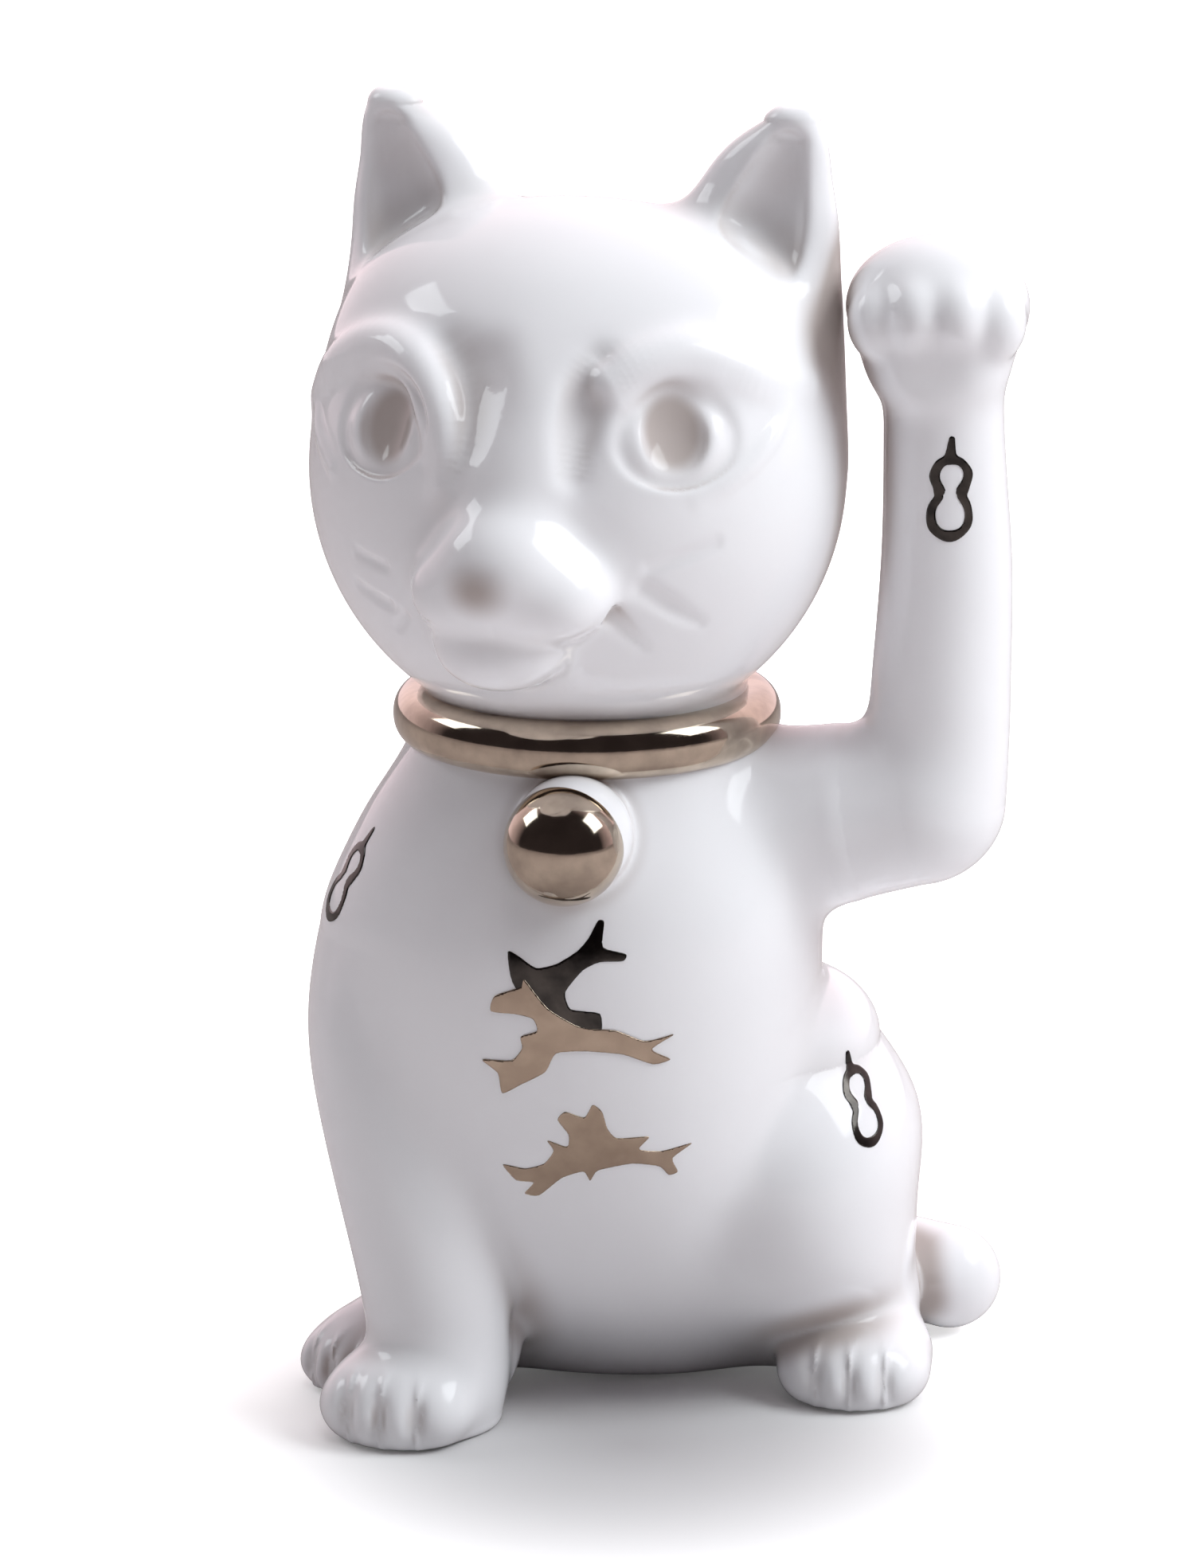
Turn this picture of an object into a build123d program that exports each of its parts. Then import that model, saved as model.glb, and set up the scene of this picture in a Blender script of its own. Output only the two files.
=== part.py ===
from build123d import *

import os
from math import cos, pi, sin

# A seated cat with one raised forepaw, slip cast in porcelain as hollow castings that are luted
# together, glazed and decorated with metal lustre. Millimetres, +Z up. The cat faces -Y, so its own
# left side is +X. The origin is on the table, straight below the middle of the neck.

os.makedirs("parts", exist_ok=True)

# Driving dimensions
EAR_TIP_Z = 209.5  # overall height
WALL = 3.5  # thickness of the castings
LUSTRE = 0.3  # modelled thickness of the painted metal, thick enough to be a solid
NECK_Z = 107.5  # seam between the torso and the head
NECK_R = 27.0
NECK_REACH = 16.0  # how far the neck runs up into the skull
SHOULDER_R = 28.5  # torso radius at that seam
COLLAR_R = 30.8
COLLAR_H = 9.2
COLLAR_EDGE = 1.4  # how far its back swells past its edges
BELL_R = 9.4
BELL_AT = (1.5, -34.0, 98.8)
VENT_R = 1.6  # air hole for the firing, in the base
VENT_AT = (0, 30)
HEAD_AT = (-0.5, -3.5, 152.0)
HEAD_R = (42.0, 39.0, 42.5)
HEAD_TURN = -10  # degrees about +Z: the cat looks a little to its own right
MUZZLE_AT = (0, -38, -15)  # from the middle of the head, before the turn
MUZZLE_R = (15.5, 14.0, 12.0)
EYE_X, EYE_Z = 21.5, 10.0  # from the middle of the head
EYE_FRONT = -32.4  # where the skull's surface lies at the eyes
SOCKET_R, SOCKET_DEPTH = 14.0, 2.4
EYEBALL_R = 8.0
PUPIL_R, PUPIL_DEPTH = 6.0, 1.2
NOSE_AT = (0, -50.5, -9.5)
NOSE_R = (7.0, 4.0, 4.5)
PAW_AT = (56.0, -4.0, 178.0)
PAW_R = (14.4, 12.5, 11.5)
TOE_R, TOE_Z = 5.0, 183.0  # the four toes of the raised paw
TOE_REACH, TOE_AHEAD = 9.0, 6.0  # from the paw's middle to the outer toes
TAIL_R = 8.2
GOURD_LINE = 1.2  # width of the painted line
PAINT_REACH = 12.0  # how far each side of its plane a painted figure is carried onto the form
BIG = 300.0  # larger than the whole cat

# Level ellipses up each form: height, centre x and y, half width, half depth
TORSO = [
    (0, 0.8, 20, 30, 24),
    (7, 0.3, 18.5, 32.4, 27),
    (17, -0.5, 15, 35, 31.5),
    (32, -1, 9.5, 37, 36.5),
    (50, -2, 5, 38.5, 38.5),
    (70, -2.5, 1, 40.5, 37.5),
    (84, -1.5, -1, 39.5, 34.5),
    (96, -1, -1, 35.5, 31),
    (NECK_Z, 0, 0, SHOULDER_R, SHOULDER_R),
]
FORELEG = [
    (5, -22, -23, 10.5, 11),
    (15, -20.5, -22, 10.3, 11.5),
    (30, -21.5, -21, 10.8, 12.5),
    (48, -25, -18, 13, 14.5),
    (66, -27, -13, 14.5, 16),
    (82, -25, -8, 11, 14),
]
HAUNCH_LEFT = [
    (0, 30, 22, 17, 15),
    (8, 30.2, 18.5, 19.5, 20),
    (17, 30.5, 14.5, 21.5, 25),
    (30, 30.5, 11, 22.5, 28.5),
    (48, 29, 12, 20.5, 25.5),
    (59, 27, 13, 15.5, 19),
    (67, 25, 14, 8, 10),
]
HAUNCH_RIGHT = [
    (0, -20, 19, 14, 20),
    (15, -20, 18, 16, 25),
    (32, -20, 17, 17, 26),
    (48, -18, 17, 15, 21),
    (58, -16, 17, 8, 10),
]
# Shoulder to elbow, as upright ellipses: x, centre y and z, half depth, half height
UPPER_ARM = [
    (22, 0, 88, 13, 14),
    (36, -0.5, 93.5, 14.5, 17.5),
    (47, -1.5, 97.5, 12.5, 14.5),
    (58, -2, 100, 10, 10.5),
]
FOREARM = [
    (96, 56.5, -2, 10.0, 10.0),
    (110, 56.5, -2, 11.0, 10.6),
    (130, 57, -2, 10.8, 10.4),
    (150, 56.8, -2.4, 10.2, 9.8),
    (168, 56.2, -3.5, 10.0, 9.8),
]
ELBOW_AT = (57.0, -2.0, 98.5)
ELBOW_R = (10.3, 10.2, 12.5)


def level_stack(stations, grow=0.0):
    """Loft a form through level ellipses, grown or shrunk all round by the same amount."""
    with BuildPart() as form:
        for z, x, y, half_x, half_y in stations:
            with BuildSketch(Plane.XY.offset(z)):
                with Locations((x, y)):
                    Ellipse(half_x + grow, half_y + grow)
        loft()
    return form.part


def upright_stack(stations, grow=0.0):
    """Loft a form through ellipses that stand across the X axis."""
    with BuildPart() as form:
        for x, y, z, half_y, half_z in stations:
            with BuildSketch(Plane.YZ.offset(x)):
                with Locations((y, z)):
                    Ellipse(half_y + grow, half_z + grow)
        loft()
    return form.part


def ellipsoid(centre, radii, grow=0.0, turn=0.0):
    """An ellipsoid, turned about the vertical through its own centre."""
    with BuildPart() as form:
        Sphere(1)
        scale(by=tuple(r + grow for r in radii))
    return form.part.rotate(Axis.Z, turn).moved(Location(centre))


def block_below(z):
    """Everything below a height, to cut a form level."""
    with BuildPart() as form:
        with Locations((0, 0, z)):
            Box(BIG, BIG, BIG, align=(Align.CENTER, Align.CENTER, Align.MAX))
    return form.part


def head_place(local):
    """A point given from the middle of the head, carried round by the head's turn."""
    return Vector(*local).rotate(Axis.Z, HEAD_TURN) + Vector(*HEAD_AT)


def finish(sub_part, name):
    sub_part.label = name
    export_step(sub_part, f"parts/{name}.step")


table_block = block_below(0)
floor_block = block_below(WALL)

# Torso: chest, belly and back in one hollow casting, open under the head, with an air hole in its base
torso_form = level_stack(TORSO)
torso_room = level_stack(TORSO, -WALL) - floor_block

with BuildPart() as torso:
    add(torso_form)
    add(torso_room, mode=Mode.SUBTRACT)
    with Locations((VENT_AT[0], VENT_AT[1], WALL)):
        Hole(VENT_R, depth=2 * WALL)
finish(torso.part, "torso")

# Head: hollow skull on a short neck, with the muzzle, eye sockets and pupils in the same casting
skull_form = ellipsoid(HEAD_AT, HEAD_R, turn=HEAD_TURN)
skull_room = ellipsoid(HEAD_AT, HEAD_R, grow=-WALL, turn=HEAD_TURN)
muzzle_form = ellipsoid(head_place(MUZZLE_AT), MUZZLE_R, turn=HEAD_TURN)
nose_form = ellipsoid(head_place(NOSE_AT), NOSE_R, turn=HEAD_TURN)

with BuildPart() as neck:
    with BuildSketch(Plane.XY.offset(NECK_Z)):
        Circle(NECK_R)
    extrude(amount=NECK_REACH)

with BuildPart() as neck_room:
    with BuildSketch(Plane.XY.offset(NECK_Z)):
        Circle(NECK_R - WALL)
    extrude(amount=NECK_REACH + WALL)


def eye_pair(radius, depth):
    """Two balls, one for each eye, centred at a depth from the middle of the head."""
    with BuildPart() as balls:
        for side in (-1, 1):
            with Locations(head_place((side * EYE_X, depth, EYE_Z))):
                Sphere(radius)
    return balls.part


sockets = eye_pair(SOCKET_R, EYE_FRONT + SOCKET_DEPTH - SOCKET_R)
eyeballs = eye_pair(EYEBALL_R, EYE_FRONT + EYEBALL_R)
pupils = eye_pair(PUPIL_R, EYE_FRONT + PUPIL_DEPTH - PUPIL_R)

with BuildPart() as head:
    add(skull_form)
    add(muzzle_form)
    add(nose_form)
    add(neck.part)
    add(sockets, mode=Mode.SUBTRACT)
    add(eyeballs)
    add(pupils, mode=Mode.SUBTRACT)
    add(skull_room, mode=Mode.SUBTRACT)
    add(neck_room.part, mode=Mode.SUBTRACT)
finish(head.part, "head")

# Ears: leaf-shaped castings, dished at the front and luted to the skull
# height, centre x and y from the middle of the head, half width, half depth
EAR_STATIONS = [
    (160, 23, 6, 16.4, 13),
    (176, 24.2, 7, 16.2, 10.5),
    (188, 26.3, 8, 13.8, 7.8),
    (197, 29.6, 8, 9.8, 5.4),
    (204, 32.4, 7.6, 5.4, 3.6),
    (EAR_TIP_Z, 34.0, 7.2, 1.8, 1.6),
]
EAR_DISH = [
    (174, 26.6, -4.5, 11.5, 7.0),
    (186, 28.0, -1.8, 9.8, 6.2),
    (197, 30.4, 1.6, 6.0, 4.4),
    (205, 32.9, 3.8, 2.4, 1.6),
]


def ear(side, name):
    """One ear, on the cat's left for side +1 and on its right for side -1."""
    shell = level_stack([(z, side * x, y, a, b) for z, x, y, a, b in EAR_STATIONS])
    dish = level_stack([(z, side * x, y, a, b) for z, x, y, a, b in EAR_DISH])
    place = Location((HEAD_AT[0], HEAD_AT[1], 0), (0, 0, HEAD_TURN))
    with BuildPart() as piece:
        add(shell.moved(place))
        add(dish.moved(place), mode=Mode.SUBTRACT)
        add(skull_form, mode=Mode.SUBTRACT)
    finish(piece.part.solids().sort_by(Axis.Z)[-1], name)


ear(1, "left_ear")
ear(-1, "right_ear")

# Collar: a round-backed band seated on the neck and the top of the torso
with BuildPart() as collar:
    with BuildSketch(Plane.XZ):
        with BuildLine():
            Line((NECK_R, NECK_Z), (COLLAR_R - COLLAR_EDGE, NECK_Z))
            ThreePointArc(
                (COLLAR_R - COLLAR_EDGE, NECK_Z),
                (COLLAR_R, NECK_Z + COLLAR_H / 2),
                (COLLAR_R - COLLAR_EDGE, NECK_Z + COLLAR_H),
            )
            Line((COLLAR_R - COLLAR_EDGE, NECK_Z + COLLAR_H), (NECK_R, NECK_Z + COLLAR_H))
            Line((NECK_R, NECK_Z + COLLAR_H), (NECK_R, NECK_Z))
        make_face()
    revolve(axis=Axis.Z)
    add(skull_form, mode=Mode.SUBTRACT)
finish(collar.part, "collar")

# Raised foreleg: hollow from the shoulder to the paw, closed where it meets the torso by the torso's wall
paw_form = ellipsoid(PAW_AT, PAW_R)
forearm_form = level_stack(FOREARM)
toe_line = Line(
    (PAW_AT[0] - TOE_REACH, PAW_AT[1] - TOE_AHEAD, TOE_Z),
    (PAW_AT[0] + TOE_REACH, PAW_AT[1] - TOE_AHEAD, TOE_Z),
)

with BuildPart() as raised_foreleg:
    add(upright_stack(UPPER_ARM))
    add(ellipsoid(ELBOW_AT, ELBOW_R))
    add(forearm_form)
    add(paw_form)
    with Locations(*[toe_line @ (i / 3) for i in range(4)]):
        Sphere(TOE_R)
    add(upright_stack(UPPER_ARM, -WALL), mode=Mode.SUBTRACT)
    add(ellipsoid(ELBOW_AT, ELBOW_R, grow=-WALL), mode=Mode.SUBTRACT)
    add(level_stack(FOREARM, -WALL), mode=Mode.SUBTRACT)
    add(ellipsoid(PAW_AT, PAW_R, grow=-WALL), mode=Mode.SUBTRACT)
    add(torso_form, mode=Mode.SUBTRACT)
    add(collar.part, mode=Mode.SUBTRACT)
finish(raised_foreleg.part, "raised_foreleg")


def low_paw(centre, radii, turn):
    """A paw flat on the table, with four toe swellings along its front."""
    body = ellipsoid(centre, radii, turn=turn) - table_block
    toes = []
    for i in range(4):
        across = (i - 1.5) * radii[0] * 0.5
        ahead = -radii[1] * (0.78 - 0.09 * abs(i - 1.5))
        spot = Vector(across, ahead, 0).rotate(Axis.Z, turn) + Vector(*centre)
        toes.append(ellipsoid((spot.X, spot.Y, 4.2), (3.9, 5.2, 4.2)))
    return body + toes


# Standing foreleg: solid cast, from the chest down to the paw
with BuildPart() as standing_foreleg:
    add(level_stack(FORELEG))
    add(low_paw((-26.0, -27.0, 6.0), (12.6, 13.8, 8.4), -10))
    add(torso_form, mode=Mode.SUBTRACT)
standing_leg = standing_foreleg.part.solids().sort_by(SortBy.VOLUME)[-1]
finish(standing_leg, "standing_foreleg")

# Hind legs: each is a haunch with its foot; the left one stands out, the right one is tucked in
with BuildPart() as left_hind_leg:
    add(level_stack(HAUNCH_LEFT))
    add(low_paw((43.0, 4.8, 5.4), (11.6, 16.4, 8.0), 2))
    add(torso_form, mode=Mode.SUBTRACT)
left_hind = left_hind_leg.part.solids().sort_by(SortBy.VOLUME)[-1]
finish(left_hind, "left_hind_leg")

with BuildPart() as right_hind_leg:
    add(level_stack(HAUNCH_RIGHT))
    add(low_paw((-34.0, -4.0, 5.5), (10.5, 15.5, 7.5), -24))
    add(torso_form, mode=Mode.SUBTRACT)
    add(standing_leg, mode=Mode.SUBTRACT)
right_hind = right_hind_leg.part.solids().sort_by(SortBy.VOLUME)[-1]
finish(right_hind, "right_hind_leg")

# Tail: a thick stub that leaves the rump and lies round the left haunch, ending in a round tip
with BuildPart() as tail:
    with BuildLine() as tail_path:
        ThreePointArc((2, 44, TAIL_R), (32, 46, TAIL_R), (57, 33, TAIL_R))
    with BuildSketch(Plane(origin=tail_path.line @ 0, z_dir=tail_path.line % 0)):
        Circle(TAIL_R)
    sweep()
    with Locations(tail_path.line @ 1):
        Sphere(TAIL_R)
    add(torso_form, mode=Mode.SUBTRACT)
    add(left_hind, mode=Mode.SUBTRACT)
tail_piece = tail.part.solids().sort_by(SortBy.VOLUME)[-1]
finish(tail_piece, "tail")

# Bell: a ball against the chest, just below the collar
with BuildPart() as bell:
    with Locations(BELL_AT):
        Sphere(BELL_R)
    add(torso_form, mode=Mode.SUBTRACT)
    add(collar.part, mode=Mode.SUBTRACT)
bell_piece = bell.part.solids().sort_by(SortBy.VOLUME)[-1]
finish(bell_piece, "bell")

# Painted decoration. Each figure is drawn flat on a plane that faces the form it is painted on, and is
# cut out of a skin of that form, so that the solid lies on the glaze everywhere.


def facing(point, azimuth):
    """A plane through a point, looking at the cat from a direction; azimuth 0 is straight ahead."""
    look = Vector(sin(azimuth * pi / 180), -cos(azimuth * pi / 180), 0)
    return Plane(origin=point, x_dir=look.cross(Vector(0, 0, -1)), z_dir=look)


def painted(figure, skin_outer, form, name, others=()):
    """Cut a flat figure, extruded through the surface, out of the skin of a form."""
    with BuildPart() as patch:
        extrude(figure, amount=PAINT_REACH, both=True)
        add(skin_outer, mode=Mode.INTERSECT)
        add(form, mode=Mode.SUBTRACT)
        for other in others:
            add(other, mode=Mode.SUBTRACT)
    finish(patch.part, name)
    return patch.part


def gourd(plane, height, lean):
    """The outline of a two-bulb bottle gourd with a short stalk, as a painted line."""
    low, high = -height / 2, height / 2
    with BuildSketch(plane) as figure:
        with BuildSketch(mode=Mode.PRIVATE) as outline:
            with Locations((0, low + height * 0.25)):
                Ellipse(height * 0.2, height * 0.24)
            with Locations((0, low + height * 0.59)):
                Ellipse(height * 0.145, height * 0.2)
        with BuildSketch(mode=Mode.PRIVATE) as opening:
            with Locations((0, low + height * 0.25)):
                Ellipse(height * 0.2 - GOURD_LINE, height * 0.24 - GOURD_LINE)
            with Locations((0, low + height * 0.59)):
                Ellipse(height * 0.145 - GOURD_LINE, height * 0.2 - GOURD_LINE)
        add(outline.sketch, rotation=lean)
        add(opening.sketch, rotation=lean, mode=Mode.SUBTRACT)
        with Locations(Location((0, 0, 0), (0, 0, lean))):
            with Locations((0.4, high - height * 0.13)):
                Rectangle(GOURD_LINE, height * 0.24)
    return figure.sketch


def carp(length, arch, turn):
    """A leaping carp: an arched body with a forked tail fin, a back fin and two belly fins."""

    def at(along, across):
        return (length * along, length * (across + arch * (1 - 4 * along**2)))

    with BuildSketch() as figure:
        with BuildLine():
            Spline(at(-0.5, 0), at(-0.32, 0.1), at(-0.05, 0.11), at(0.2, 0.045), at(0.3, 0.03))
            Polyline(at(0.3, 0.03), at(0.5, 0.15), at(0.38, 0.0), at(0.48, -0.13), at(0.3, -0.03))
            Spline(at(0.3, -0.03), at(0.1, -0.08), at(-0.15, -0.11), at(-0.38, -0.08), at(-0.5, 0))
        make_face()
        for fin in (
            (at(-0.22, 0.08), at(0.04, 0.2), at(0.14, 0.04)),
            (at(-0.34, -0.06), at(-0.2, -0.23), at(-0.16, -0.06)),
            (at(0.02, -0.06), at(0.13, -0.18), at(0.14, -0.04)),
        ):
            with BuildLine():
                Polyline(*fin, close=True)
            make_face()
    return figure.sketch.rotate(Axis.Z, turn)


torso_skin = level_stack(TORSO, LUSTRE)
forearm_skin = level_stack(FOREARM, LUSTRE)
haunch_skin = level_stack(HAUNCH_LEFT, LUSTRE)

painted(gourd(facing((58.4, -12, 151), 8), 16.5, 0), forearm_skin, forearm_form, "gourd_forearm")
painted(gourd(facing((-35.2, -15.6, 88), -58), 15.5, -8), torso_skin, torso_form, "gourd_shoulder")
painted(
    gourd(facing((44.6, -3.2, 50), 45), 13.0, 3),
    haunch_skin,
    level_stack(HAUNCH_LEFT),
    "gourd_thigh",
    others=(torso_form,),
)

dark_figure = facing((2.4, -37, 78.0), 8) * carp(22.0, 0.06, 34)
carp_dark = painted(dark_figure, torso_skin, torso_form, "carp_dark")

pair_plane = facing((5.0, -37, 70.0), 8)
pair_figure = pair_plane * (carp(29.0, 0.08, -16) + Pos(-7.5, -1.5) * carp(17.0, -0.06, 222))
painted(pair_figure, torso_skin, torso_form, "carp_light", others=(carp_dark,))

lower_figure = facing((7.5, -37, 48.6), 8) * carp(29.0, 0.1, 6)
painted(lower_figure, torso_skin, torso_form, "carp_lower")
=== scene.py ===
import math
from concurrent.futures import ThreadPoolExecutor

import bpy
import numpy as np
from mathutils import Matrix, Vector


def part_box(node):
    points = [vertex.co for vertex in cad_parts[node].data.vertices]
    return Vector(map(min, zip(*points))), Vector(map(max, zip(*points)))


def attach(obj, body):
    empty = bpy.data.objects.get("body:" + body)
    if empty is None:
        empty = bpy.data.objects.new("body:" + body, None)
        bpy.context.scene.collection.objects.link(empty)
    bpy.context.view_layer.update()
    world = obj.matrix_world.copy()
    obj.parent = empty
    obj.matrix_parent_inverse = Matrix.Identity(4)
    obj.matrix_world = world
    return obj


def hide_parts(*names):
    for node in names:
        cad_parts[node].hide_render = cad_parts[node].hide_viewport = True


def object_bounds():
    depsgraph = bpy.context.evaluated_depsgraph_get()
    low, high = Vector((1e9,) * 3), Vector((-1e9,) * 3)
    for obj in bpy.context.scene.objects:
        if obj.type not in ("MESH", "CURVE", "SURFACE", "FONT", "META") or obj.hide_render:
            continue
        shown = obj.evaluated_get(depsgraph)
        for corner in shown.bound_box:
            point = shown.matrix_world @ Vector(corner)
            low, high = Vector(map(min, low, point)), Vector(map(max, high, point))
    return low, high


# The porcelain cat is one smooth skin: every casting is a distance field, the fields are blended as
# the glaze blends them, and the skin is then parted along the luted seams into one mesh per casting.
# Lengths are in millimetres in the row frame until a mesh is made.

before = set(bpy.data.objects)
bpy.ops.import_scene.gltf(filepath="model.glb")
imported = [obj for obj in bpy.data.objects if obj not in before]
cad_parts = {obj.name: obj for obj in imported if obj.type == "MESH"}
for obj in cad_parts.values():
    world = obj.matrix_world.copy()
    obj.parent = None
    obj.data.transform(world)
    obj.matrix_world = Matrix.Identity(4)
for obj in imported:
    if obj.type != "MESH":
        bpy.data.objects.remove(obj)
cad_low, cad_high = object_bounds()

MM = 0.001
TINY = 1e-6


def box_mm(node):
    """The lowest and highest corners of a CAD node, in millimetres."""
    low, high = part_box(node)
    return np.array(low) / MM, np.array(high) / MM


# ---------------------------------------------------------------- anchors taken from the frame

_, torso_high = box_mm("torso")
head_low, head_high = box_mm("head")
collar_low, collar_high = box_mm("collar")
bell_low, bell_high = box_mm("bell")
_, ear_high = box_mm("left_ear")
_, arm_high = box_mm("raised_foreleg")

NECK_Z = torso_high[2]
COLLAR_R = (collar_high[0] - collar_low[0]) / 2
COLLAR_MID = (collar_low[2] + collar_high[2]) / 2
COLLAR_H = collar_high[2] - collar_low[2]
SKULL_R = np.array([42.5, 39.0, 42.5])
HEAD_LEAN = -0.5
SKULL = np.array([
    (head_low[0] + head_high[0]) / 2 + HEAD_LEAN, head_high[1] - SKULL_R[1], head_high[2] - SKULL_R[2],
])
HEAD_TURN = math.radians(-10)
EAR_TIP_Z = ear_high[2]
BELL_R = (bell_high[0] - bell_low[0]) / 2
BELL = np.array([
    (bell_low[0] + bell_high[0]) / 2, bell_low[1] + BELL_R, (bell_low[2] + bell_high[2]) / 2,
])
PAW_TOP = arm_high[2]
VENT_R = 1.6
NECK_R = 25.5
NECK_OVERLAP = 16

# ---------------------------------------------------------------- field tools


def blend(a, b, k):
    """Union of two fields with a fillet about k wide, smooth to the second derivative."""
    h = np.maximum(k - np.abs(a - b), 0) / k
    return np.minimum(a, b) - h * h * h * (k / 6)


def carve(a, b, k):
    """Field a with b taken out of it, with a rounded lip."""
    return -blend(-a, b, k)


def meet(a, b, k):
    """The part common to both fields, with a rounded edge."""
    return -blend(-a, -b, k)


def turned(p, origin, turn=0.0, pitch=0.0, roll=0.0):
    """Coordinates from an origin, in axes turned about Z, then pitched about X, then rolled about Y."""
    x, y, z = p[0] - origin[0], p[1] - origin[1], p[2] - origin[2]
    c, s = math.cos(turn), math.sin(turn)
    x, y = c * x + s * y, -s * x + c * y
    if pitch:
        c, s = math.cos(pitch), math.sin(pitch)
        y, z = c * y + s * z, -s * y + c * z
    if roll:
        c, s = math.cos(roll), math.sin(roll)
        x, z = c * x - s * z, s * x + c * z
    return x, y, z


def ellipsoid(p, radii):
    """Distance to an ellipsoid about the origin of p."""
    rx, ry, rz = radii
    a, b, c = p[0] / rx, p[1] / ry, p[2] / rz
    k0 = np.sqrt(a * a + b * b + c * c) + TINY
    k1 = np.sqrt((a / rx) ** 2 + (b / ry) ** 2 + (c / rz) ** 2) + TINY
    return k0 * (k0 - 1) / k1


def limb(p, joints):
    """A limb through joints (x, y, z, radius), tapering evenly between them."""
    best = None
    for a, b in zip(joints[:-1], joints[1:]):
        ax, ay, az, ra = a
        bx, by, bz, rb = b
        dx, dy, dz = bx - ax, by - ay, bz - az
        px, py, pz = p[0] - ax, p[1] - ay, p[2] - az
        t = np.clip((px * dx + py * dy + pz * dz) / (dx * dx + dy * dy + dz * dz), 0, 1)
        axis = np.sqrt((px - t * dx) ** 2 + (py - t * dy) ** 2 + (pz - t * dz) ** 2)
        d = axis - (ra + t * (rb - ra))
        best = d if best is None else np.minimum(best, d)
    return best


def smooth_path(rows, parts=4):
    """Rows (x, y, z, radius) joined by a curve that passes through them all."""
    rows = np.array(rows, float)
    ends = np.vstack([2 * rows[0] - rows[1], rows, 2 * rows[-1] - rows[-2]])
    out = []
    for a, b, c, d in zip(ends[:-3], ends[1:-2], ends[2:-1], ends[3:]):
        for t in np.arange(parts) / parts:
            out.append(b + (c - a) * t / 2 + (a - 2.5 * b + 2 * c - d / 2) * t * t
                       + (d - 3 * c + 3 * b - a) * t ** 3 / 2)
    return [tuple(r) for r in out] + [tuple(rows[-1])]


class Profile:
    """A natural cubic spline through rows (t, a, b, c, ...), giving each column and its slope."""

    def __init__(self, rows):
        rows = np.array(rows, float)
        self.t, self.v = rows[:, 0], rows[:, 1:]
        n = len(self.t)
        h = np.diff(self.t)
        m = np.eye(n)
        r = np.zeros((n, self.v.shape[1]))
        for i in range(1, n - 1):
            m[i, i - 1 : i + 2] = h[i - 1], 2 * (h[i - 1] + h[i]), h[i]
            r[i] = 6 * ((self.v[i + 1] - self.v[i]) / h[i] - (self.v[i] - self.v[i - 1]) / h[i - 1])
        self.m = np.linalg.solve(m, r)
        self.h = h

    def at(self, t):
        """The columns and their slopes at t, held at the end rows beyond them."""
        t = np.clip(t, self.t[0], self.t[-1])
        i = np.clip(np.searchsorted(self.t, t, side="right") - 1, 0, len(self.t) - 2)
        h = self.h[i]
        u, w = self.t[i + 1] - t, t - self.t[i]
        values, slopes = [], []
        for c in range(self.v.shape[1]):
            m0, m1 = self.m[i, c], self.m[i + 1, c]
            v0, v1 = self.v[i, c], self.v[i + 1, c]
            g0, g1 = v0 / h - m0 * h / 6, v1 / h - m1 * h / 6
            values.append((m0 * u**3 + m1 * w**3) / (6 * h) + g0 * u + g1 * w)
            slopes.append((m1 * w**2 - m0 * u**2) / (2 * h) - g0 + g1)
        return values, slopes


OVAL_INSET = 0.02


def stack(p, profile, power=2.0, cap=1.0):
    """A form through level ovals, domed by cap at its ends.

    The profile's rows are (z, x, y, half width, half depth), and power squares the ovals' corners.
    """
    z = p[2]
    (cx, cy, rx, ry), (sx, sy, srx, sry) = profile.at(z)
    a, b = (p[0] - cx) / rx, (p[1] - cy) / ry
    fa, fb = np.abs(a) + TINY, np.abs(b) + TINY
    k = (fa**power + fb**power) ** (1 / power) + OVAL_INSET
    ga, gb = (fa / k) ** (power - 1) * np.sign(a), (fb / k) ** (power - 1) * np.sign(b)
    gx, gy = ga / rx, gb / ry
    gz = -(gx * (sx + np.clip(a, -1, 1) * srx) + gy * (sy + np.clip(b, -1, 1) * sry))
    side = (k - 1) / np.sqrt(gx * gx + gy * gy + gz * gz)
    over = np.maximum(z - profile.t[-1], profile.t[0] - z)
    return np.where(over > 0, np.sqrt(np.maximum(side + cap, 0) ** 2 + over**2) - cap, side)


# ---------------------------------------------------------------- the castings

TORSO = Profile([
    (-4, 1, 23, 27, 19),
    (5, 0.5, 20.5, 31.5, 24),
    (17, -0.5, 15, 35, 31.5),
    (32, -1, 9.5, 37, 36.5),
    (50, -2, 5, 38.8, 38.5),
    (70, -2.5, 1, 40.8, 37.5),
    (84, -1.5, -1, 39.3, 34.5),
    (96, -1, -1, 35.0, 31),
    (106, -0.3, -0.2, 29.5, 28.0),
    (114, 0, 0, 26.5, 26.0),
])
STANDING = Profile([
    (2, -20.8, -23, 10.6, 11.0),
    (14, -20.6, -23, 11.4, 11.4),
    (30, -22.8, -22, 12.4, 12.4),
    (48, -26.2, -18, 14.0, 14.0),
    (66, -27.8, -12, 15.0, 15.0),
    (78, -26.6, -8, 13.6, 13.6),
])
UPPER_ARM = [(20, 0, 93, 16.0), (40, -1.2, 97.0, 14.3), (52.8, -2, 99.2, 12.6)]
FOREARM = Profile([
    (100, 54.9, -2, 11.2, 11.2),
    (107, 55.9, -2, 11.4, 11.4),
    (119, 56.5, -2, 11.2, 11.2),
    (138, 57.1, -2, 10.5, 10.5),
    (156, 56.6, -2.5, 9.7, 9.7),
    (172, 56.2, -3, 9.4, 9.4),
])
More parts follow.
